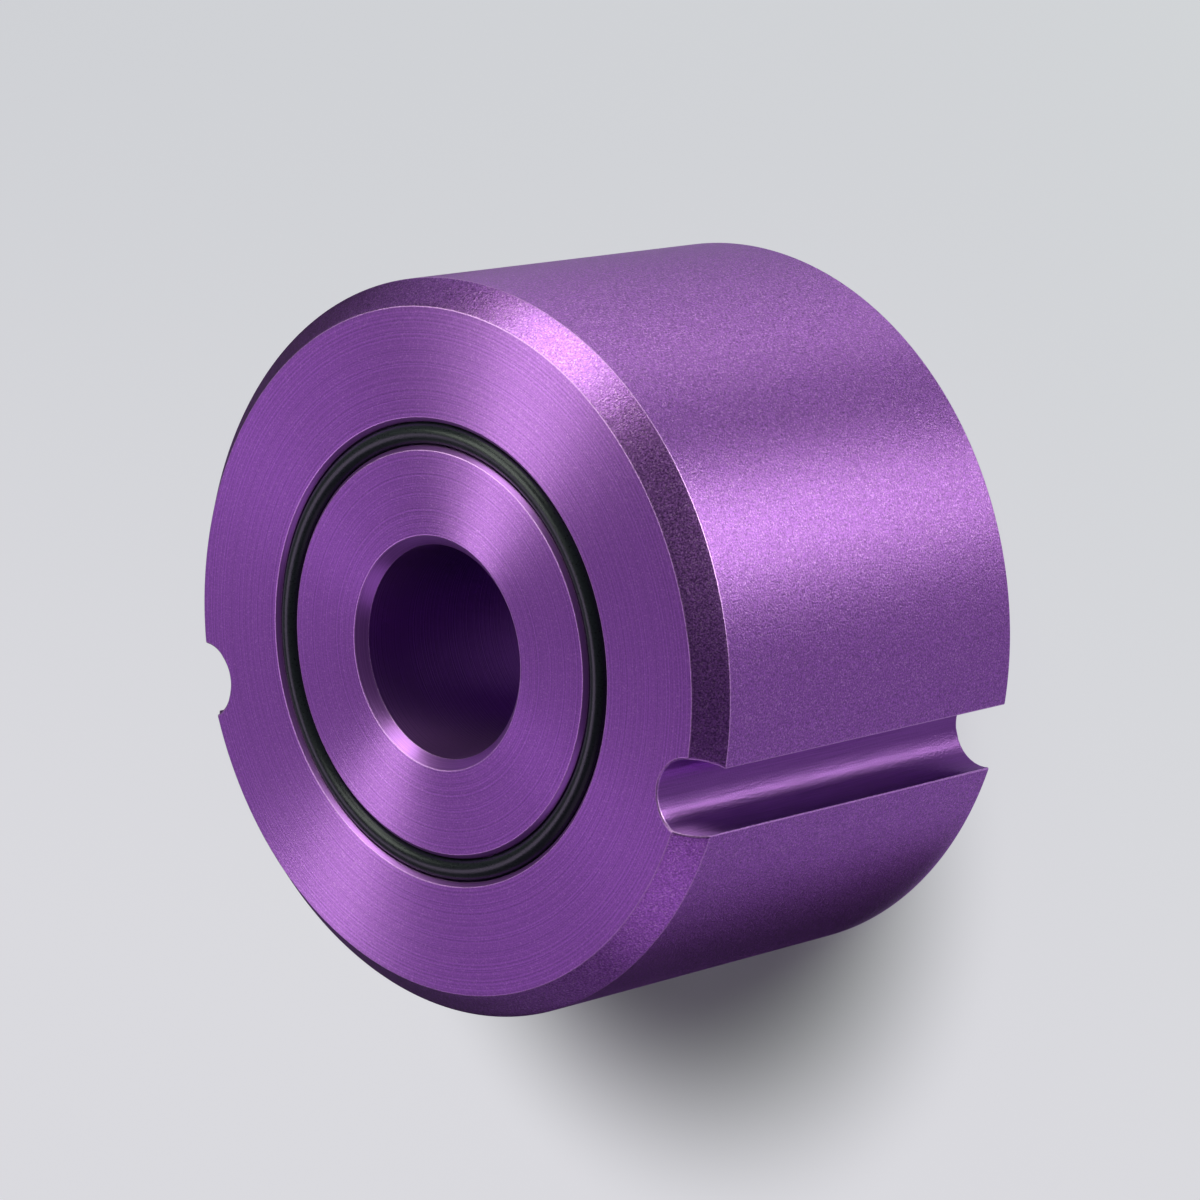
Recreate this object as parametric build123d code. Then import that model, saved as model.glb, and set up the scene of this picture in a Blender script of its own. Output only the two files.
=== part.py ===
from build123d import *
from math import cos, radians, sin
import os

# A turned, bored and fluted aluminium body with a rubber seal ring in its front face.
# Frame: millimetres, +Z along the turning axis. The plain back end stands on Z = 0, the
# front face with the seal ring points up, and the two flutes mirror each other in X.

# ---- Body ----
body_diameter = 50.0
body_length = 30.0
front_chamfer = 1.75
back_edge_break = 0.2

# The outer rim of the front face falls away a little towards the chamfer.
rim_width = 1.85
rim_drop = 0.06

# ---- Bore ----
bore_diameter = 14.5
bore_mouth_chamfer = 0.7
bore_back_break = 0.3

# ---- Flutes, milled along the full length ----
flute_radius = 2.6
flute_depth = 3.85
flute_spread = 152.0
flute_edge_break = 0.15

# ---- Seal ring and its groove in the front face ----
ring_cord = 1.5
ring_mean_diameter = 29.5
ring_side_gap = 0.05
ring_floor_gap = 0.02
groove_depth = 1.4
groove_edge_chamfer = 0.3

# ---- Sizes that follow ----
body_radius = body_diameter / 2
bore_radius = bore_diameter / 2
face_radius = body_radius - front_chamfer
rim_inner_radius = face_radius - rim_width
ring_mean_radius = ring_mean_diameter / 2
groove_half_width = ring_cord / 2 + ring_side_gap
groove_inner_radius = ring_mean_radius - groove_half_width
groove_outer_radius = ring_mean_radius + groove_half_width
groove_floor = body_length - groove_depth
flute_center_radius = body_radius - flute_depth + flute_radius
edge_tolerance = 0.001


def turned_blank():
    """Revolve the half section: outside, face with its rim and groove, and bore."""
    outline = [
        (bore_radius + bore_back_break, 0),
        (body_radius - back_edge_break, 0),
        (body_radius, back_edge_break),
        (body_radius, body_length - rim_drop - front_chamfer),
        (face_radius, body_length - rim_drop),
        (rim_inner_radius, body_length),
        (groove_outer_radius + groove_edge_chamfer, body_length),
        (groove_outer_radius, body_length - groove_edge_chamfer),
        (groove_outer_radius, groove_floor),
        (groove_inner_radius, groove_floor),
        (groove_inner_radius, body_length - groove_edge_chamfer),
        (groove_inner_radius - groove_edge_chamfer, body_length),
        (bore_radius + bore_mouth_chamfer, body_length),
        (bore_radius, body_length - bore_mouth_chamfer),
        (bore_radius, bore_back_break),
    ]
    section = make_face(Plane.XZ * Polyline(*outline, close=True))
    return revolve(section, Axis.Z)


def flute_centers():
    """The two cutter positions, one each side of -Y."""
    angles = [-90 + side * flute_spread / 2 for side in (-1, 1)]
    return [
        Vector(flute_center_radius * cos(radians(a)), flute_center_radius * sin(radians(a)))
        for a in angles
    ]


def is_flute_edge(edge, centers):
    """True for a long edge where a flute's round wall meets the outside of the body."""
    middle = edge @ 0.5
    across = Vector(middle.X, middle.Y)
    on_outside = abs(across.length - body_radius) < edge_tolerance
    on_flute = any(abs((across - c).length - flute_radius) < edge_tolerance for c in centers)
    return on_outside and on_flute


def fluted_body():
    """Mill both flutes through the whole length of the blank and break their long edges."""
    body = turned_blank()
    centers = flute_centers()
    for center in centers:
        body -= Pos(center.X, center.Y) * extrude(Circle(flute_radius), body_length)
    long_edges = [
        edge for edge in body.edges().filter_by(Axis.Z) if is_flute_edge(edge, centers)
    ]
    return chamfer(long_edges, flute_edge_break)


def seal_ring():
    """A round rubber cord ring that lies on the groove's floor, its crown just proud."""
    center_height = groove_floor + ring_floor_gap + ring_cord / 2
    return Pos(0, 0, center_height) * Torus(ring_mean_radius, ring_cord / 2)


os.makedirs("parts", exist_ok=True)
export_step(fluted_body(), "parts/body.step")
export_step(seal_ring(), "parts/o_ring.step")
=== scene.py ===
from math import acos, cos, pi, radians, sin, sqrt

import bmesh
import bpy
from mathutils import Matrix, Vector


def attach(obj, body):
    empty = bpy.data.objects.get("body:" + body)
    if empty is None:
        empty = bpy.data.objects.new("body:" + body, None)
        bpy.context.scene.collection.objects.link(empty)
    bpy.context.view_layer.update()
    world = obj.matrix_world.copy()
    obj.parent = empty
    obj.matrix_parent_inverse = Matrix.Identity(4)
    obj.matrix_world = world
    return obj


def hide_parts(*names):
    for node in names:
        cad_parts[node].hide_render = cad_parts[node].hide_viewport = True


# A purple anodised, turned and fluted body with a rubber seal ring in its front face.
# The CAD frame is in metres: +Z is the turning axis, the plain back end stands on Z = 0.
# Lengths below are written in millimetres and multiplied by MM where a mesh is made.

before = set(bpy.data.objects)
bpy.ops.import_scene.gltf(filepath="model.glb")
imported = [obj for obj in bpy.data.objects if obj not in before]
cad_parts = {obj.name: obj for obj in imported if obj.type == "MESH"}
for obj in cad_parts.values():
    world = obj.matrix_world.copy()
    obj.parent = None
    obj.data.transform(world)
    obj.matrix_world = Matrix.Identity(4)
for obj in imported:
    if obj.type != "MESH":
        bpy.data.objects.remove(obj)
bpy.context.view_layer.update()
MM = 0.001

# ---- The part's dimensions, as in the CAD source ----
BODY_RADIUS = 25.0
BODY_LENGTH = 30.0
FRONT_CHAMFER = 1.75
BACK_EDGE_BREAK = 0.2
RIM_WIDTH = 1.85
RIM_DROP = 0.06
BORE_RADIUS = 7.25
BORE_MOUTH_CHAMFER = 0.7
BORE_BACK_BREAK = 0.3
FLUTE_RADIUS = 2.6
FLUTE_DEPTH = 3.85
FLUTE_SPREAD = 152.0
RING_CORD = 1.5
RING_MEAN_RADIUS = 14.75
RING_SIDE_GAP = 0.05
RING_FLOOR_GAP = 0.02
GROOVE_DEPTH = 1.4
GROOVE_EDGE_CHAMFER = 0.3

# ---- Sizes that follow ----
FACE_RADIUS = BODY_RADIUS - FRONT_CHAMFER
RIM_INNER_RADIUS = FACE_RADIUS - RIM_WIDTH
RIM_EDGE_HEIGHT = BODY_LENGTH - RIM_DROP
SHOULDER_HEIGHT = RIM_EDGE_HEIGHT - FRONT_CHAMFER
GROOVE_HALF_WIDTH = RING_CORD / 2 + RING_SIDE_GAP
GROOVE_INNER_RADIUS = RING_MEAN_RADIUS - GROOVE_HALF_WIDTH
GROOVE_OUTER_RADIUS = RING_MEAN_RADIUS + GROOVE_HALF_WIDTH
GROOVE_FLOOR = BODY_LENGTH - GROOVE_DEPTH
FLUTE_CENTER_RADIUS = BODY_RADIUS - FLUTE_DEPTH + FLUTE_RADIUS
RIGHT_FLUTE_ANGLE = radians(-90 + FLUTE_SPREAD / 2)
LEFT_FLUTE_ANGLE = radians(270 - FLUTE_SPREAD / 2)

# ---- Edge rounding left by the blasting before the dye ----
TURNED_EDGE_ROUND = 0.05
FLUTE_EDGE_ROUND = 0.15
SMALL_EDGE_ROUND = 0.05
EDGE_ROUND_SEGMENTS = 3
SHARP_FOLD = radians(25)

# ---- How finely the body is divided ----
LONG_ARC_STEPS = 300
SHORT_ARC_STEPS = 216
CHAMFER_ROWS = 4
RIM_ROWS = 5
FLUTE_TIP_STEPS = CHAMFER_ROWS + RIM_ROWS
FLUTE_CLEARANCE = 0.4
CLEAR_OF_FLUTES = FLUTE_CENTER_RADIUS - FLUTE_RADIUS - FLUTE_CLEARANCE
SIDE_ROWS = 14
FACE_ROWS = 6
LAND_ROWS = 5
BORE_ROWS = 6
BACK_ROWS = 8
RING_STEPS_AROUND = 320
RING_STEPS_ACROSS = 40

# ---- Material zones of the body, in the order of its slots ----
FACE, CHAMFER, OUTSIDE, FLUTE, GROOVE, BORE, EDGE = range(7)


# ------------------------------------------------------------------ body mesh


def flute_half_angle(radius):
    """Half of the angle, seen from the axis, that a flute takes out of a circle."""
    reach = radius**2 + FLUTE_CENTER_RADIUS**2 - FLUTE_RADIUS**2
    return acos(min(1.0, reach / (2 * radius * FLUTE_CENTER_RADIUS)))


def wall_angle(radius):
    """Angle round a flute's own centre where its wall is that far from the axis."""
    reach = FLUTE_CENTER_RADIUS**2 + FLUTE_RADIUS**2 - radius**2
    return acos(reach / (2 * FLUTE_CENTER_RADIUS * FLUTE_RADIUS))


def wall_point(flute_angle, turn):
    """Point of a flute's wall in plan; turn 0 is nearest to the axis."""
    along = FLUTE_CENTER_RADIUS - FLUTE_RADIUS * cos(turn)
    across = FLUTE_RADIUS * sin(turn)
    x = along * cos(flute_angle) - across * sin(flute_angle)
    y = along * sin(flute_angle) + across * cos(flute_angle)
    return x, y


def front_height(radius):
    """Height of the front end's surface, from the chamfer's foot to the flat face."""
    if radius >= FACE_RADIUS:
        return RIM_EDGE_HEIGHT - (radius - FACE_RADIUS)
    if radius >= RIM_INNER_RADIUS:
        return BODY_LENGTH - RIM_DROP * (radius - RIM_INNER_RADIUS) / RIM_WIDTH
    return BODY_LENGTH


def spread(start, end, steps):
    """Evenly spaced values from start to end, both ends included."""
    return [start + (end - start) * i / steps for i in range(steps + 1)]


def long_arcs(radius):
    """The two arcs of a circle between the flutes, as lists of angles."""
    half = flute_half_angle(radius)
    upper = spread(RIGHT_FLUTE_ANGLE + half, LEFT_FLUTE_ANGLE - half, LONG_ARC_STEPS)
    first = LEFT_FLUTE_ANGLE + half
    last = RIGHT_FLUTE_ANGLE + 2 * pi - half
    return [upper, spread(first, last, SHORT_ARC_STEPS)]


def circle_points(angles, radius, height):
    """Points at the given angles of a circle about the turning axis."""
    return [(radius * cos(a), radius * sin(a), height) for a in angles]


class Skin:
    """Collects quads whose corners are written as coordinates in millimetres."""

    def __init__(self):
        self.mesh = bmesh.new()
        self.corners = {}

    def corner(self, point):
        """The vertex at a point, made once and shared by all faces that meet there."""
        key = tuple(round(value, 5) for value in point)
        if key not in self.corners:
            self.corners[key] = self.mesh.verts.new([value * MM for value in point])
        return self.corners[key]

    def face(self, points, zone):
        """A face of one material zone; corners that fall together are merged."""
        corners = list(dict.fromkeys(self.corner(point) for point in points))
        if len(corners) > 2:
            self.mesh.faces.new(corners).material_index = zone

    def strip(self, first, second, zone):
        """Quads between two rows with the same number of points."""
        for i in range(len(first) - 1):
            self.face([first[i], first[i + 1], second[i + 1], second[i]], zone)


def full_circle(radius, height):
    """A whole circle, divided like the outline so that its rows join up with it."""
    tip_half = flute_half_angle(RIM_INNER_RADIUS)
    flutes = (LEFT_FLUTE_ANGLE, RIGHT_FLUTE_ANGLE + 2 * pi)
    angles = []
    for arc, middle in zip(long_arcs(RIM_INNER_RADIUS), flutes):
        angles += arc[:-1]
        angles += spread(middle - tip_half, middle + tip_half, 2 * FLUTE_TIP_STEPS)[:-1]
    angles.append(angles[0] + 2 * pi)
    points = circle_points(angles, radius, height)
    points[-1] = points[0]
    return points


def tip_turns():
    """Wall angles across the inmost part of a flute, which cuts the flat face."""
    end = wall_angle(RIM_INNER_RADIUS)
    return spread(-end, end, 2 * FLUTE_TIP_STEPS)


def outline_at_rim(height):
    """The closed row where the flat face ends: the rim's circle and both flute tips."""
    points = []
    flutes = (LEFT_FLUTE_ANGLE, RIGHT_FLUTE_ANGLE)
    for arc, flute in zip(long_arcs(RIM_INNER_RADIUS), flutes):
        points += circle_points(arc, RIM_INNER_RADIUS, height)
        tip = [wall_point(flute, turn) for turn in tip_turns()]
        points += [(x, y, height) for x, y in tip[1:-1]]
    points.append(points[0])
    return points


def side_levels():
    """Heights of the rows on the outside and in the flutes."""
    return spread(BACK_EDGE_BREAK, SHOULDER_HEIGHT, SIDE_ROWS)


def ring_radii():
    """Radii of the rows from the outside of the body to the edge of the flat face."""
    chamfer = spread(BODY_RADIUS, FACE_RADIUS, CHAMFER_ROWS)
    rim = spread(FACE_RADIUS, RIM_INNER_RADIUS, RIM_ROWS)
    return chamfer, rim


def add_outside(skin):
    """The cylinder between the flutes, from the back edge up to the chamfer."""
    levels = side_levels()
    for low, high in zip(levels, levels[1:]):
        for arc in long_arcs(BODY_RADIUS):
            below = circle_points(arc, BODY_RADIUS, low)
            above = circle_points(arc, BODY_RADIUS, high)
            skin.strip(below, above, OUTSIDE)


def add_front_rings(skin):
    """The chamfer and the falling rim, each interrupted by both flutes."""
    chamfer, rim = ring_radii()
    for radii, zone in ((chamfer, CHAMFER), (rim, FACE)):
        for outer, inner in zip(radii, radii[1:]):
            for outer_arc, inner_arc in zip(long_arcs(outer), long_arcs(inner)):
                lower = circle_points(outer_arc, outer, front_height(outer))
                upper = circle_points(inner_arc, inner, front_height(inner))
                skin.strip(lower, upper, zone)


def wall_turns():
    """Wall angles of a flute's columns; each meets the front end at one of its rows."""
    chamfer, rim = ring_radii()
    side = [wall_angle(radius) for radius in chamfer + rim[1:-1]]
    return [-turn for turn in side] + tip_turns() + side[::-1]


def wall_top(turn):
    """Height at which a flute's wall meets the front end."""
    x, y = wall_point(0.0, turn)
    return front_height(sqrt(x * x + y * y))


def add_flute(skin, flute_angle):
    """One flute's wall, from the broken back edge up to the front end it cuts through."""
    turns = wall_turns()
    plan = [wall_point(flute_angle, turn) for turn in turns]
    levels = side_levels()
    for low, high in zip(levels, levels[1:]):
        below = [(x, y, low) for x, y in plan]
        above = [(x, y, high) for x, y in plan]
        skin.strip(above, below, FLUTE)
    foot = [(x, y, levels[-1]) for x, y in plan]
    top = [(x, y, wall_top(turn)) for (x, y), turn in zip(plan, turns)]
    skin.strip(top, foot, FLUTE)
    broken = wall_angle(BODY_RADIUS - BACK_EDGE_BREAK)
    heel = [wall_point(flute_angle, turn) for turn in [-broken, *turns[1:-1], broken]]
    above = [(x, y, levels[0]) for x, y in plan]
    skin.strip(above, [(x, y, 0.0) for x, y in heel], FLUTE)


def add_turned_rows(skin, profile, zones):
    """Full turned rows through a profile of (radius, height) points."""
    for (start, end), zone in zip(zip(profile, profile[1:]), zones):
        skin.strip(full_circle(*start), full_circle(*end), zone)


def add_front_middle(skin):
    """Flat face, groove, land and bore, from the rim inwards and down to the back."""
    land_outer = GROOVE_INNER_RADIUS - GROOVE_EDGE_CHAMFER
    face_inner = GROOVE_OUTER_RADIUS + GROOVE_EDGE_CHAMFER
    groove_edge = BODY_LENGTH - GROOVE_EDGE_CHAMFER
    mouth = BORE_RADIUS + BORE_MOUTH_CHAMFER
    skin.strip(outline_at_rim(BODY_LENGTH), full_circle(CLEAR_OF_FLUTES, BODY_LENGTH), FACE)
    face = [(r, BODY_LENGTH) for r in spread(CLEAR_OF_FLUTES, face_inner, FACE_ROWS)]
    groove = [
        (GROOVE_OUTER_RADIUS, groove_edge),
        (GROOVE_OUTER_RADIUS, GROOVE_FLOOR),
        (GROOVE_INNER_RADIUS, GROOVE_FLOOR),
        (GROOVE_INNER_RADIUS, groove_edge),
        (land_outer, BODY_LENGTH),
    ]
    land = [(r, BODY_LENGTH) for r in spread(land_outer, mouth, LAND_ROWS)][1:]
    bore_top = BODY_LENGTH - BORE_MOUTH_CHAMFER
    bore = [(BORE_RADIUS, z) for z in spread(bore_top, BORE_BACK_BREAK, BORE_ROWS)]
    profile = face + groove + land + bore
    zones = [FACE] * FACE_ROWS + [GROOVE] * len(groove)
    zones += [FACE] * LAND_ROWS + [BORE] * len(bore)
    add_turned_rows(skin, profile, zones)


def add_back(skin):
    """The plain back end with its broken outer edge, divided like the front end."""
    chamfer, rim = ring_radii()
    broken_radius = BODY_RADIUS - BACK_EDGE_BREAK
    for outer_arc, inner_arc in zip(long_arcs(BODY_RADIUS), long_arcs(broken_radius)):
        outer = circle_points(outer_arc, BODY_RADIUS, BACK_EDGE_BREAK)
        inner = circle_points(inner_arc, broken_radius, 0.0)
        skin.strip(inner, outer, OUTSIDE)
    radii = [broken_radius] + chamfer[1:] + rim[1:]
    for outer, inner in zip(radii, radii[1:]):
        for outer_arc, inner_arc in zip(long_arcs(outer), long_arcs(inner)):
            outer_row = circle_points(outer_arc, outer, 0.0)
            skin.strip(outer_row, circle_points(inner_arc, inner, 0.0), FACE)
    skin.strip(outline_at_rim(0.0), full_circle(CLEAR_OF_FLUTES, 0.0), FACE)
    radii = spread(CLEAR_OF_FLUTES, BORE_RADIUS + BORE_BACK_BREAK, BACK_ROWS)
    profile = [(BORE_RADIUS, BORE_BACK_BREAK)] + [(radius, 0.0) for radius in radii[::-1]]
    add_turned_rows(skin, profile, [BORE] + [FACE] * BACK_ROWS)


def edge_width(edge):
    """How far an edge of the finished surface is rounded, or 0 for a smooth one."""
    if len(edge.link_faces) != 2 or edge.calc_face_angle(0.0) < SHARP_FOLD:
        return 0.0
    zones = {face.material_index for face in edge.link_faces}
    if FLUTE in zones:
        return FLUTE_EDGE_ROUND
    if CHAMFER in zones:
        return TURNED_EDGE_ROUND
    return SMALL_EDGE_ROUND


def build_body():
    """The whole body as one closed skin, with its sharp edges marked for rounding."""
    skin = Skin()
    add_outside(skin)
    add_front_rings(skin)
    for flute in (RIGHT_FLUTE_ANGLE, LEFT_FLUTE_ANGLE):
        add_flute(skin, flute)
    add_front_middle(skin)
    add_back(skin)
    mesh = skin.mesh
    bmesh.ops.recalc_face_normals(mesh, faces=mesh.faces)
    weights = mesh.edges.layers.float.new("bevel_weight_edge")
    for edge in mesh.edges:
        edge[weights] = edge_width(edge) / FLUTE_EDGE_ROUND
    return finish_mesh("turned_body", mesh)


def finish_mesh(name, mesh):
    """Makes a smooth shaded object of a bmesh."""
    data = bpy.data.meshes.new(name)
    mesh.to_mesh(data)
    mesh.free()
    for face in data.polygons:
        face.use_smooth = True
    piece = bpy.data.objects.new(name, data)
    bpy.context.scene.collection.objects.link(piece)
    return piece


def round_edges(piece):
    """Rounds the weighted edges and keeps the broad surfaces' shading flat up to them."""
    bevel = piece.modifiers.new("edge_rounding", "BEVEL")
    bevel.limit_method = "WEIGHT"
    bevel.offset_type = "OFFSET"
    bevel.width = FLUTE_EDGE_ROUND * MM
    bevel.segments = EDGE_ROUND_SEGMENTS
    bevel.use_clamp_overlap = True
    bevel.material = EDGE
    normals = piece.modifiers.new("even_shading", "WEIGHTED_NORMAL")
    normals.mode = "FACE_AREA"
    normals.weight = 50
    normals.keep_sharp = False


# ------------------------------------------------------------------ seal ring


def build_ring():
    """A round rubber cord, closed to a ring, lying on the groove's floor."""
    cord_radius = RING_CORD / 2
    center_height = GROOVE_FLOOR + RING_FLOOR_GAP + cord_radius
    around = spread(0, 2 * pi, RING_STEPS_AROUND)
    skin = Skin()
    rows = []
    for step in range(RING_STEPS_ACROSS):
        turn = 2 * pi * step / RING_STEPS_ACROSS
        radius = RING_MEAN_RADIUS + cord_radius * cos(turn)
        height = center_height + cord_radius * sin(turn)
        row = circle_points(around, radius, height)
        row[-1] = row[0]
        rows.append(row)
    rows.append(rows[0])
    for first, second in zip(rows, rows[1:]):
        skin.strip(first, second, 0)
    return finish_mesh("seal_ring", skin.mesh)


# ------------------------------------------------------------------ materials


class Nodes:
    """Small helper that adds and links shader nodes of one material."""

    def __init__(self, name):
        self.material = bpy.data.materials.new(name)
        self.material.use_nodes = True
        self.tree = self.material.node_tree
        self.shader = self.tree.nodes["Principled BSDF"]

    def add(self, kind, **settings):
        """Adds a node of one kind and applies its settings."""
        node = self.tree.nodes.new(kind)
        for key, value in settings.items():
            setattr(node, key, value)
        return node

    def link(self, output, socket):
        self.tree.links.new(output, socket)

    def math(self, operation, first, second=None):
        """Output of a math node whose inputs are numbers or other outputs."""
        node = self.add("ShaderNodeMath", operation=operation)
        for socket, value in zip(node.inputs, (first, second)):
            if value is None:
                continue
            if isinstance(value, (int, float)):
                socket.default_value = value
            else:
                self.link(value, socket)
        return node.outputs[0]

    def contrasty(self, value):
        """Draws the middle of a noise's range out to 0..1."""
        node = self.add("ShaderNodeMapRange")
        self.link(value, node.inputs["Value"])
        node.inputs["From Min"].default_value, node.inputs["From Max"].default_value = NOISE_RANGE
        return node.outputs["Result"]

    def scaled(self, low, high, value):
        """Maps 0..1 to low..high."""
        node = self.add("ShaderNodeMapRange")
        self.link(value, node.inputs["Value"])
        node.inputs["To Min"].default_value = low
        node.inputs["To Max"].default_value = high
        return node.outputs["Result"]


MICRON = 1e-6

# The dye's colour on broad surfaces, and a lighter colour on the rounded edges, which paints
# their highlight lines brighter.
ANODISED = (0.262, 0.082, 0.418)
ANODISED_EDGE = (0.38, 0.16, 0.52)

# Painted glints: a pale colour mixed into the base colour of a few random blasted pits, and its
# largest share there.
PAINTED_GLINT = (0.78, 0.38, 0.92)
PAINTED_GLINT_SHARE = 0.36
PAINTED_GLINT_SHARPNESS = 8.0

# The dye layer takes a little of the metal's reflection away.
DYED_METALLIC = 0.92

# The shader's anisotropic rotation is a share of a full turn.
QUARTER_TURN = 0.25

# The rubber's shine is tinted against the near lamps' tint, so that it comes out neutral.
RUBBER = (0.006, 0.0068, 0.0105)
RUBBER_SHINE = (0.79, 0.59, 1.0, 1)

# Sizes of surface texture, as noise scale in features per metre.
BLAST_GRAIN = 8000.0
FLECKS = 12000.0
FACE_LINES = 7500.0
FINE_LINES = 13000.0
STREAKS = 9000.0

# Chatter marks round the chamfer, as noise scale per unit of direction from the axis.
CHATTER = 300.0

# Noise stays near its middle value, so this part of its range is drawn out to 0..1.
NOISE_RANGE = (0.32, 0.68)


def part_position(nodes):
    """Coordinates of the shaded point in the part's frame, in metres."""
    return nodes.add("ShaderNodeTexCoord").outputs["Object"]


def squeezed(nodes, coordinates, factors):
    """Coordinates scaled by axis, to flatten them or to draw a noise out."""
    node = nodes.add("ShaderNodeVectorMath", operation="MULTIPLY")
    nodes.link(coordinates, node.inputs[0])
    node.inputs[1].default_value = factors
    return node.outputs[0]


def toward(nodes, coordinates, direction):
    """How far a point lies in a direction from the middle of the back end."""
    node = nodes.add("ShaderNodeVectorMath", operation="DOT_PRODUCT")
    nodes.link(coordinates, node.inputs[0])
    node.inputs[1].default_value = direction
    return node.outputs["Value"]


def above_back(nodes, coordinates):
    """How high a point lies above the back end."""
    return toward(nodes, coordinates, (0.0, 0.0, 1.0))


def from_axis(nodes, coordinates):
    """How far a point lies from the turning axis."""
    node = nodes.add("ShaderNodeVectorMath", operation="LENGTH")
    nodes.link(squeezed(nodes, coordinates, (1, 1, 0)), node.inputs[0])
    return node.outputs["Value"]


def noise(nodes, vector, scale, detail=2.0):
    """Grain of a given scale, drawn out to the whole range 0..1."""
    node = nodes.add("ShaderNodeTexNoise")
    nodes.link(vector, node.inputs["Vector"])
    node.inputs["Scale"].default_value = scale
    node.inputs["Detail"].default_value = detail
    return nodes.contrasty(node.outputs["Fac"])


def glint_flecks(nodes, coordinates):
    """Painted glints: one random value for each blasted pit, high for a few and low for most."""
    cells = nodes.add("ShaderNodeTexVoronoi")
    nodes.link(coordinates, cells.inputs["Vector"])
    cells.inputs["Scale"].default_value = FLECKS
    channel = nodes.add("ShaderNodeSeparateColor")
    nodes.link(cells.outputs["Color"], channel.inputs[0])
    return nodes.math("POWER", channel.outputs[0], PAINTED_GLINT_SHARPNESS)


def line_noise(nodes, position, scale, detail=2.0):
    """Noise that changes only with position, such as the distance from the axis."""
    node = nodes.add("ShaderNodeTexNoise", noise_dimensions="1D")
    nodes.link(position, node.inputs["W"])
    node.inputs["Scale"].default_value = scale
    node.inputs["Detail"].default_value = detail
    return nodes.contrasty(node.outputs["Fac"])


def bump(nodes, height, depth, below=None):
    """Bump of a given depth in metres on top of an earlier one."""
    node = nodes.add("ShaderNodeBump")
    node.inputs["Distance"].default_value = depth
    nodes.link(height, node.inputs["Height"])
    if below is not None:
        nodes.link(below, node.inputs["Normal"])
    return node.outputs["Normal"]


def tinted(nodes, factor, color, spread_by, painted_glint=None):
    """The colour darker and lighter by a 0..1 factor, and paler where a fleck gets a painted
    glint.
    """
    tint = nodes.add("ShaderNodeMix", data_type="RGBA")
    tint.inputs["A"].default_value = (*[(1 - spread_by) * c for c in color], 1)
    tint.inputs["B"].default_value = (*[(1 + spread_by) * c for c in color], 1)
    nodes.link(factor, tint.inputs["Factor"])
    result = tint.outputs["Result"]
    if painted_glint is not None:
        shine = nodes.add("ShaderNodeMix", data_type="RGBA")
        nodes.link(nodes.scaled(0.0, PAINTED_GLINT_SHARE, painted_glint), shine.inputs["Factor"])
        nodes.link(result, shine.inputs["A"])
        shine.inputs["B"].default_value = (*PAINTED_GLINT, 1)
        result = shine.outputs["Result"]
    nodes.link(result, nodes.shader.inputs["Base Color"])


def relief(nodes, normal):
    """Gives the shader its bumped normal."""
    nodes.link(normal, nodes.shader.inputs["Normal"])


def roughness(nodes, low, high, factor):
    """Roughness from low to high by a 0..1 factor."""
    nodes.link(nodes.scaled(low, high, factor), nodes.shader.inputs["Roughness"])


def anodised_base(name, stretch, metallic=DYED_METALLIC):
    """An anodised shader whose reflections spread across marks that run round the axis."""
    nodes = Nodes(name)
    shader = nodes.shader
    shader.inputs["Metallic"].default_value = metallic
    shader.inputs["Anisotropic"].default_value = stretch
    shader.inputs["Anisotropic Rotation"].default_value = QUARTER_TURN
    tangent = nodes.add("ShaderNodeTangent", direction_type="RADIAL", axis="Z")
    nodes.link(tangent.outputs[0], shader.inputs["Tangent"])
    return nodes


def turned_face():
    """Front and back faces: irregular concentric tool marks under a fine blasted grain."""
    nodes = anodised_base("anodised_turned_face", 1.0)
    coordinates = part_position(nodes)
    radius = from_axis(nodes, coordinates)
    lines = line_noise(nodes, radius, FACE_LINES, detail=3.0)
    fine = line_noise(nodes, radius, FINE_LINES)
    grain = noise(nodes, coordinates, BLAST_GRAIN)
    normal = bump(nodes, lines, 5 * MICRON)
    normal = bump(nodes, fine, 1.5 * MICRON, normal)
    relief(nodes, bump(nodes, grain, 5 * MICRON, normal))
    shade = nodes.math("MULTIPLY", nodes.math("ADD", lines, grain), 0.5)
    painted_glint = nodes.math("MULTIPLY", glint_flecks(nodes, coordinates), 0.5)
    tinted(nodes, shade, ANODISED, 0.34, painted_glint)
    roughness(nodes, 0.46, 0.54, grain)
    return nodes.material


def turned_chamfer():
    """The front chamfer: faint chatter across it, and the blasted grain."""
    nodes = anodised_base("anodised_chamfer", 0.3, metallic=1.0)
    coordinates = part_position(nodes)
    direction = nodes.add("ShaderNodeVectorMath", operation="NORMALIZE")
    nodes.link(squeezed(nodes, coordinates, (1, 1, 0)), direction.inputs[0])
    chatter = noise(nodes, direction.outputs[0], CHATTER, detail=3.0)
    grain = noise(nodes, coordinates, BLAST_GRAIN)
    normal = bump(nodes, chatter, 3 * MICRON)
    relief(nodes, bump(nodes, grain, 4.5 * MICRON, normal))
    tinted(nodes, grain, ANODISED, 0.40, glint_flecks(nodes, coordinates))
    roughness(nodes, 0.30, 0.38, grain)
    return nodes.material


def blasted_outside():
    """The outside: an even blasted grain, coarser than on the face."""
    nodes = anodised_base("anodised_outside", 0.9)
    coordinates = part_position(nodes)
    grain = noise(nodes, coordinates, BLAST_GRAIN, detail=3.0)
    turning = line_noise(nodes, above_back(nodes, coordinates), FINE_LINES)
    normal = bump(nodes, turning, 0.6 * MICRON)
    relief(nodes, bump(nodes, grain, 10 * MICRON, normal))
    tinted(nodes, grain, ANODISED, 0.42, glint_flecks(nodes, coordinates))
    roughness(nodes, 0.38, 0.50, grain)
    return nodes.material


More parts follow.
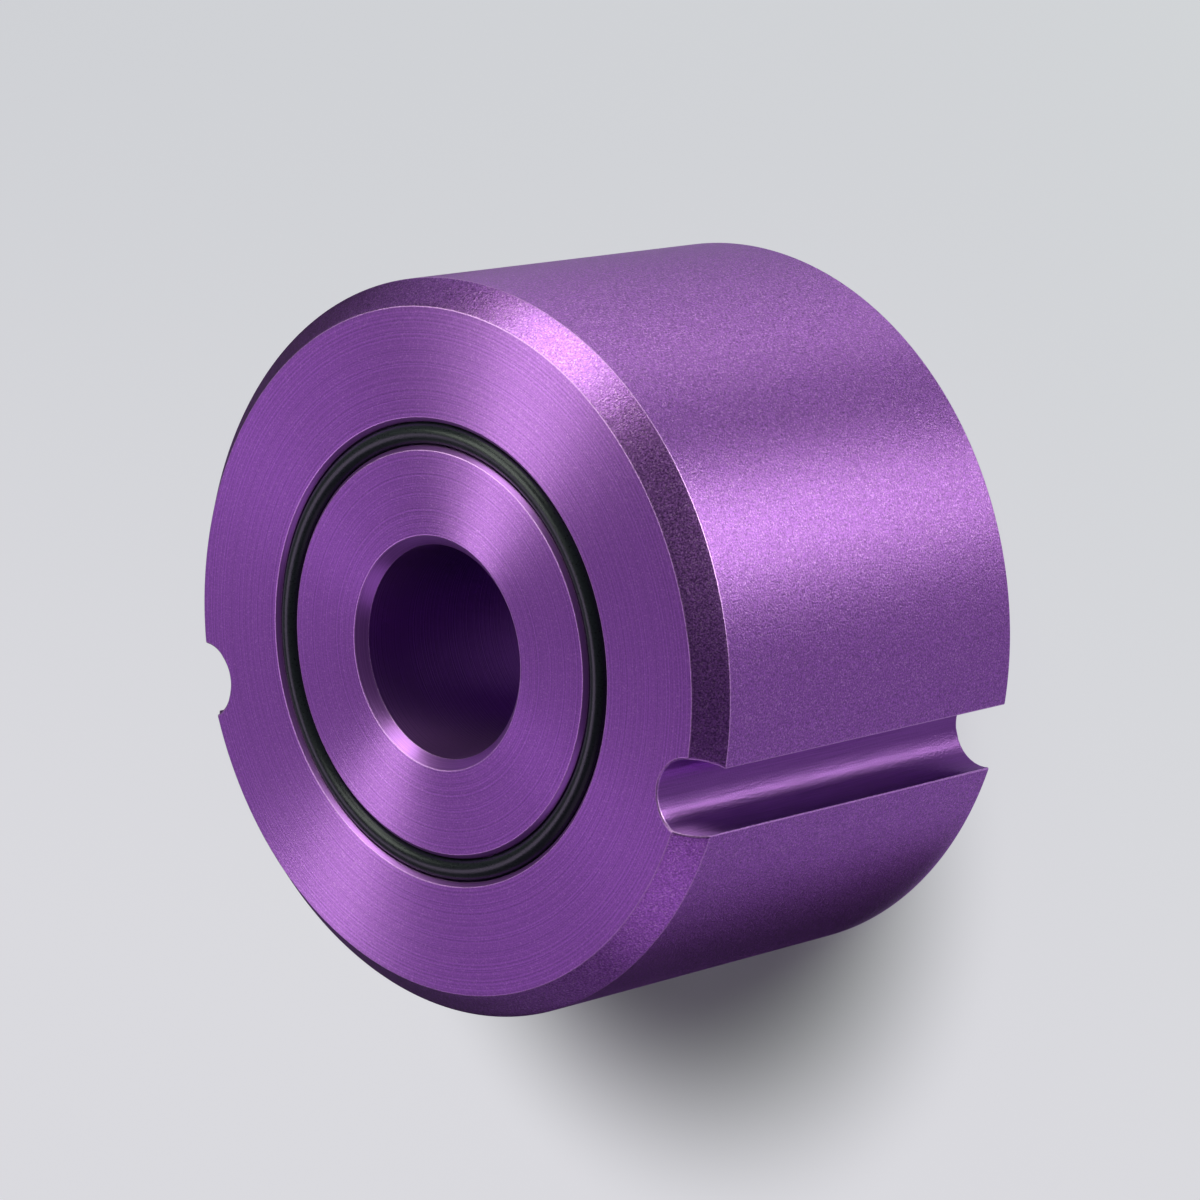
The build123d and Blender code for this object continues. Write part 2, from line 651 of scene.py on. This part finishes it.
def milled_flute():
    """A flute's wall: fine marks drawn out along its length."""
    nodes = anodised_base("anodised_flute", 1.0)
    across = nodes.add("ShaderNodeVectorMath", operation="CROSS_PRODUCT")
    nodes.link(nodes.add("ShaderNodeNewGeometry").outputs["Normal"], across.inputs[0])
    across.inputs[1].default_value = (0.0, 0.0, 1.0)
    nodes.link(across.outputs[0], nodes.shader.inputs["Tangent"])
    coordinates = part_position(nodes)
    drawn_out = squeezed(nodes, coordinates, (1, 1, 0.03))
    streaks = noise(nodes, drawn_out, STREAKS, detail=3.0)
    grain = noise(nodes, coordinates, BLAST_GRAIN)
    normal = bump(nodes, streaks, 0.7 * MICRON)
    relief(nodes, bump(nodes, grain, 8 * MICRON, normal))
    tinted(nodes, streaks, ANODISED, 0.15)
    roughness(nodes, 0.40, 0.46, streaks)
    return nodes.material


def bored(name, depth, smoothest, roughest):
    """The bore and the groove: concentric marks down their walls."""
    nodes = anodised_base(name, 0.6)
    coordinates = part_position(nodes)
    radius = from_axis(nodes, coordinates)
    down_wall = nodes.math("ADD", radius, above_back(nodes, coordinates))
    marks = line_noise(nodes, down_wall, STREAKS, detail=3.0)
    relief(nodes, bump(nodes, marks, depth))
    tinted(nodes, marks, ANODISED, 0.15)
    roughness(nodes, smoothest, roughest, marks)
    return nodes.material


def highlight_edge():
    """Rounded edges: smoother metal, and a lighter colour that paints their highlight lines
    brighter.
    """
    nodes = anodised_base("anodised_edge", 0.0)
    grain = noise(nodes, part_position(nodes), BLAST_GRAIN)
    relief(nodes, bump(nodes, grain, 5 * MICRON))
    tinted(nodes, grain, ANODISED_EDGE, 0.2)
    roughness(nodes, 0.34, 0.46, grain)
    return nodes.material


def rubber():
    """Black rubber of the seal ring: satin, with a very fine grain."""
    nodes = Nodes("seal_rubber")
    nodes.shader.inputs["Specular IOR Level"].default_value = 0.25
    nodes.shader.inputs["Specular Tint"].default_value = RUBBER_SHINE
    grain = noise(nodes, part_position(nodes), BLAST_GRAIN)
    relief(nodes, bump(nodes, grain, 2 * MICRON))
    tinted(nodes, grain, RUBBER, 0.3)
    roughness(nodes, 0.27, 0.33, grain)
    return nodes.material


# ------------------------------------------------------------------ stage

# The paper's tone towards the top and the bottom of the photograph, over a run along Y in
# metres, and its own colour where it takes light and shadow.
# The steady tone is a glow, not lamp light, and it is painted brighter towards -Y.
PAPER_TOP = (0.662, 0.670, 0.708)
PAPER_BOTTOM = (0.752, 0.748, 0.790)
PAPER_RUN = (-0.045, 0.045)
PAPER_COLOR = (0.55, 0.55, 0.58)
FLOOR_HALF_WIDTH = 3.0

# The paper's glow is left out close to this point, so a darker patch of painted shadow lies there
# over the part's real shadow. Over the reach, in metres, the share of its steady tone rises from
# the first to the second value.
PAINTED_SHADOW_MIDDLE = (-0.006, -0.017, 0.0)
PAINTED_SHADOW_REACH = (0.013, 0.032)
STEADY_SHARE = (0.06, 0.92)

# The world's tone at the horizon, and the rise in degrees over which it dims.
HORIZON = (0.655, 0.660, 0.697)
WORLD_FADE = (0.0, 12.0)
WORLD_TOP_LEVEL = 0.14

# The near lamps are tinted, more green and less blue than white: on the purple dye this gives
# highlights as pale as the photograph's, which a metal shader under white light does not.
KEY_TINT = (1.0, 1.40, 0.79)
FILL_TINT = (1.0, 0.94, 1.02)

# The black card is painted shade that only reflections see: it darkens what the part reflects
# round its foot.
# Sizes are in metres, and in degrees about the axis: it fades out at both ends of its turn, and
# along a straight edge that faces away from the light side.
CARD_MIDDLE = 238.0
CARD_SPREAD = 100.0
CARD_FADE = 12.0
CARD_EDGE_FACING = 193.0
CARD_EDGE_RUN = (-0.021, -0.015)
CARD_RADIUS = 0.240
CARD_HEIGHT = 0.030
CARD_RISE = 0.0001
CARD_GAP = 0.5 * MM
CARD_STEPS = 48
CARD_STRENGTH = 0.95
PAINTED_SHADE_BLACK = (0.002, 0.002, 0.002)

# The photograph's viewpoint, fitted to the edges of the part.
CAMERA_PLACE = (0.233053, 0.071683, 0.258299)
CAMERA_RIGHT = Vector((0.720027, 0.021083, -0.693626))
CAMERA_UP = Vector((-0.156146, 0.978828, -0.132338))
CAMERA_LENS = 150.0


def outward(turn):
    """Unit vector away from the axis, at an angle in degrees."""
    return Vector((cos(radians(turn)), sin(radians(turn)), 0.0))


def ramp(nodes, value, inputs, outputs):
    """A smooth step from one output to another while the value runs through the inputs."""
    node = nodes.add("ShaderNodeMapRange", interpolation_type="SMOOTHSTEP")
    nodes.link(value, node.inputs["Value"])
    node.inputs["From Min"].default_value, node.inputs["From Max"].default_value = inputs
    node.inputs["To Min"].default_value, node.inputs["To Max"].default_value = outputs
    return node.outputs["Result"]


def mixed(nodes, share, first, second):
    """Shows the second shader over the first by a share of 0..1."""
    mix = nodes.add("ShaderNodeMixShader")
    nodes.link(share, mix.inputs["Fac"])
    nodes.link(first, mix.inputs[1])
    nodes.link(second, mix.inputs[2])
    nodes.link(mix.outputs[0], nodes.tree.nodes["Material Output"].inputs["Surface"])


def flat_piece(name, corners, faces, material):
    """A piece of the stage, made of the given corners and faces with one material."""
    data = bpy.data.meshes.new(name)
    data.from_pydata(corners, [], faces)
    data.materials.append(material)
    piece = bpy.data.objects.new(name, data)
    bpy.context.scene.collection.objects.link(piece)
    return piece


def paper():
    """Pale paper: lit and shadowed near the part, where its glow is left out to paint a darker
    patch of shadow, and of a steady glowing tone further out, painted brighter towards -Y.
    """
    nodes = Nodes("pale_paper")
    coordinates = part_position(nodes)
    nodes.shader.inputs["Base Color"].default_value = (*PAPER_COLOR, 1)
    nodes.shader.inputs["Roughness"].default_value = 0.9
    nodes.shader.inputs["Specular IOR Level"].default_value = 0.1
    tone = nodes.add("ShaderNodeMix", data_type="RGBA")
    tone.inputs["A"].default_value = (*PAPER_BOTTOM, 1)
    tone.inputs["B"].default_value = (*PAPER_TOP, 1)
    run = toward(nodes, coordinates, (0.0, 1.0, 0.0))
    nodes.link(ramp(nodes, run, PAPER_RUN, (0, 1)), tone.inputs["Factor"])
    glow = nodes.add("ShaderNodeEmission")
    nodes.link(tone.outputs["Result"], glow.inputs["Color"])
    path = nodes.add("ShaderNodeLightPath")
    seen = nodes.math("MAXIMUM", path.outputs["Is Camera Ray"], path.outputs["Is Glossy Ray"])
    seen = nodes.math("MAXIMUM", seen, path.outputs["Is Transmission Ray"])
    # Painted shadow: the glow fades out round a point near the part, which darkens the paper
    # there.
    away = nodes.add("ShaderNodeVectorMath", operation="DISTANCE")
    nodes.link(coordinates, away.inputs[0])
    away.inputs[1].default_value = PAINTED_SHADOW_MIDDLE
    steady = ramp(nodes, away.outputs["Value"], PAINTED_SHADOW_REACH, STEADY_SHARE)
    share = nodes.math("MULTIPLY", seen, steady)
    mixed(nodes, share, nodes.shader.outputs[0], glow.outputs[0])
    return nodes.material


def build_floor():
    """Paper at the height of the part's back end, far wider than the picture."""
    size = FLOOR_HALF_WIDTH
    corners = [(-size, -size, 0), (size, -size, 0), (size, size, 0), (-size, size, 0)]
    flat_piece("floor", corners, [(0, 1, 2, 3)], paper())


def painted_shade_card():
    """Painted shade for reflections: black, fading out at the ends of its turn and along a
    straight edge.
    """
    nodes = Nodes("painted_shade_card")
    coordinates = part_position(nodes)
    nodes.shader.inputs["Base Color"].default_value = (*PAINTED_SHADE_BLACK, 1)
    nodes.shader.inputs["Specular IOR Level"].default_value = 0.0
    reach = toward(nodes, coordinates, outward(CARD_MIDDLE))
    facing = nodes.math("DIVIDE", reach, from_axis(nodes, coordinates))
    limits = [cos(radians(CARD_SPREAD + side * CARD_FADE)) for side in (1, -1)]
    turned_in = ramp(nodes, facing, limits, (0, CARD_STRENGTH))
    past_edge = toward(nodes, coordinates, outward(CARD_EDGE_FACING))
    inside = ramp(nodes, past_edge, CARD_EDGE_RUN, (0, 1))
    clear = nodes.add("ShaderNodeBsdfTransparent")
    cover = nodes.math("MULTIPLY", turned_in, inside)
    mixed(nodes, cover, clear.outputs[0], nodes.shader.outputs[0])
    return nodes.material


def build_painted_shade_card():
    """A black card round the part's foot that turns up at its rim; only reflections see it, as
    painted shade.
    """
    inner = BODY_RADIUS * MM + CARD_GAP
    profile = [(inner, CARD_RISE), (CARD_RADIUS, CARD_RISE), (CARD_RADIUS, CARD_HEIGHT)]
    reach = CARD_SPREAD + CARD_FADE
    turns = spread(radians(CARD_MIDDLE - reach), radians(CARD_MIDDLE + reach), CARD_STEPS)
    corners = [(r * cos(turn), r * sin(turn), z) for turn in turns for r, z in profile]
    faces = []
    for i in range(0, len(profile) * CARD_STEPS, len(profile)):
        faces += [(i, i + 3, i + 4, i + 1), (i + 1, i + 4, i + 5, i + 2)]
    card = flat_piece("card", corners, faces, painted_shade_card())
    card.visible_camera = False
    card.visible_diffuse = False
    card.visible_shadow = False
    card.visible_transmission = False


def build_world():
    """Pale near the horizon, where it meets the floor, and dimmer overhead."""
    world = bpy.data.worlds.new("studio")
    world.use_nodes = True
    tree = world.node_tree
    direction = tree.nodes.new("ShaderNodeTexCoord")
    parts = tree.nodes.new("ShaderNodeSeparateXYZ")
    tree.links.new(direction.outputs["Generated"], parts.inputs[0])
    rise = tree.nodes.new("ShaderNodeMapRange")
    rise.interpolation_type = "SMOOTHSTEP"
    start, end = WORLD_FADE
    rise.inputs["From Min"].default_value = sin(radians(start))
    rise.inputs["From Max"].default_value = sin(radians(end))
    rise.inputs["To Min"].default_value = 1.0
    rise.inputs["To Max"].default_value = WORLD_TOP_LEVEL
    tree.links.new(parts.outputs["Z"], rise.inputs["Value"])
    background = tree.nodes["Background"]
    background.inputs["Color"].default_value = (*HORIZON, 1)
    tree.links.new(rise.outputs["Result"], background.inputs["Strength"])
    bpy.context.scene.world = world


def softbox(name, azimuth, elevation, distance, width, height, watts, color):
    """An area lamp that looks at the middle of the part."""
    target = Vector((0, 0, 0.5 * BODY_LENGTH * MM))
    rise = radians(elevation)
    direction = cos(rise) * outward(azimuth) + Vector((0, 0, sin(rise)))
    light = bpy.data.lights.new(name, "AREA")
    light.shape = "RECTANGLE"
    light.size = width
    light.size_y = height
    light.energy = watts
    light.color = color
    lamp = bpy.data.objects.new(name, light)
    lamp.location = target + distance * direction
    lamp.rotation_euler = (-direction).to_track_quat("-Z", "Y").to_euler()
    lamp.visible_camera = False
    bpy.context.scene.collection.objects.link(lamp)
    return lamp


def light_only(lamps, pieces):
    """Keeps lamps off the paper, whose shadow then stays as deep as the photograph's."""
    lit = bpy.data.collections.new("lit_by_soft_lamps")
    for piece in pieces:
        lit.objects.link(piece)
    for lamp in lamps:
        lamp.light_linking.receiver_collection = lit


def build_camera():
    """The photograph's viewpoint: 43 degrees above the face, turned about its own axis."""
    camera = bpy.data.objects.new("camera", bpy.data.cameras.new("camera"))
    camera.data.sensor_width = 36.0
    camera.data.lens = CAMERA_LENS
    camera.data.clip_start = 0.01
    back = CAMERA_RIGHT.cross(CAMERA_UP)
    turn = Matrix((CAMERA_RIGHT, CAMERA_UP, back)).transposed().to_4x4()
    camera.matrix_world = Matrix.Translation(CAMERA_PLACE) @ turn
    bpy.context.scene.collection.objects.link(camera)
    bpy.context.scene.camera = camera


# ------------------------------------------------------------------ assembly

build_camera()

body = build_body()
zone_metals = (
    turned_face(),
    turned_chamfer(),
    blasted_outside(),
    milled_flute(),
    bored("anodised_groove", 2 * MICRON, 0.36, 0.42),
    bored("anodised_bore", 5 * MICRON, 0.30, 0.38),
    highlight_edge(),
)
for metal in zone_metals:
    body.data.materials.append(metal)
round_edges(body)
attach(body, "root")
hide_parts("body")

ring = build_ring()
ring.data.materials.append(rubber())
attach(ring, "root")
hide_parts("o_ring")

build_floor()
build_painted_shade_card()
build_world()

# Azimuth and elevation in degrees, distance, width and height in metres, watts.
key = softbox("key", 130, 57, 0.10, 0.045, 0.045, 0.043, KEY_TINT)
softbox("low_key", 99, 29, 0.20, 0.100, 0.085, 0.145, KEY_TINT)
softbox("top_strip", 80, 5, 0.20, 0.050, 0.080, 0.068, KEY_TINT)
softbox("side", 32, 0, 0.12, 0.052, 0.028, 0.097, KEY_TINT)
fill = softbox("fill", 206, 54, 0.35, 0.16, 0.16, 0.28, FILL_TINT)
low_fill = softbox("low_fill", -65, 29, 0.30, 0.18, 0.18, 0.08, FILL_TINT)
light_only([key, fill, low_fill], [body, ring])

bpy.context.scene.view_settings.view_transform = "Standard"
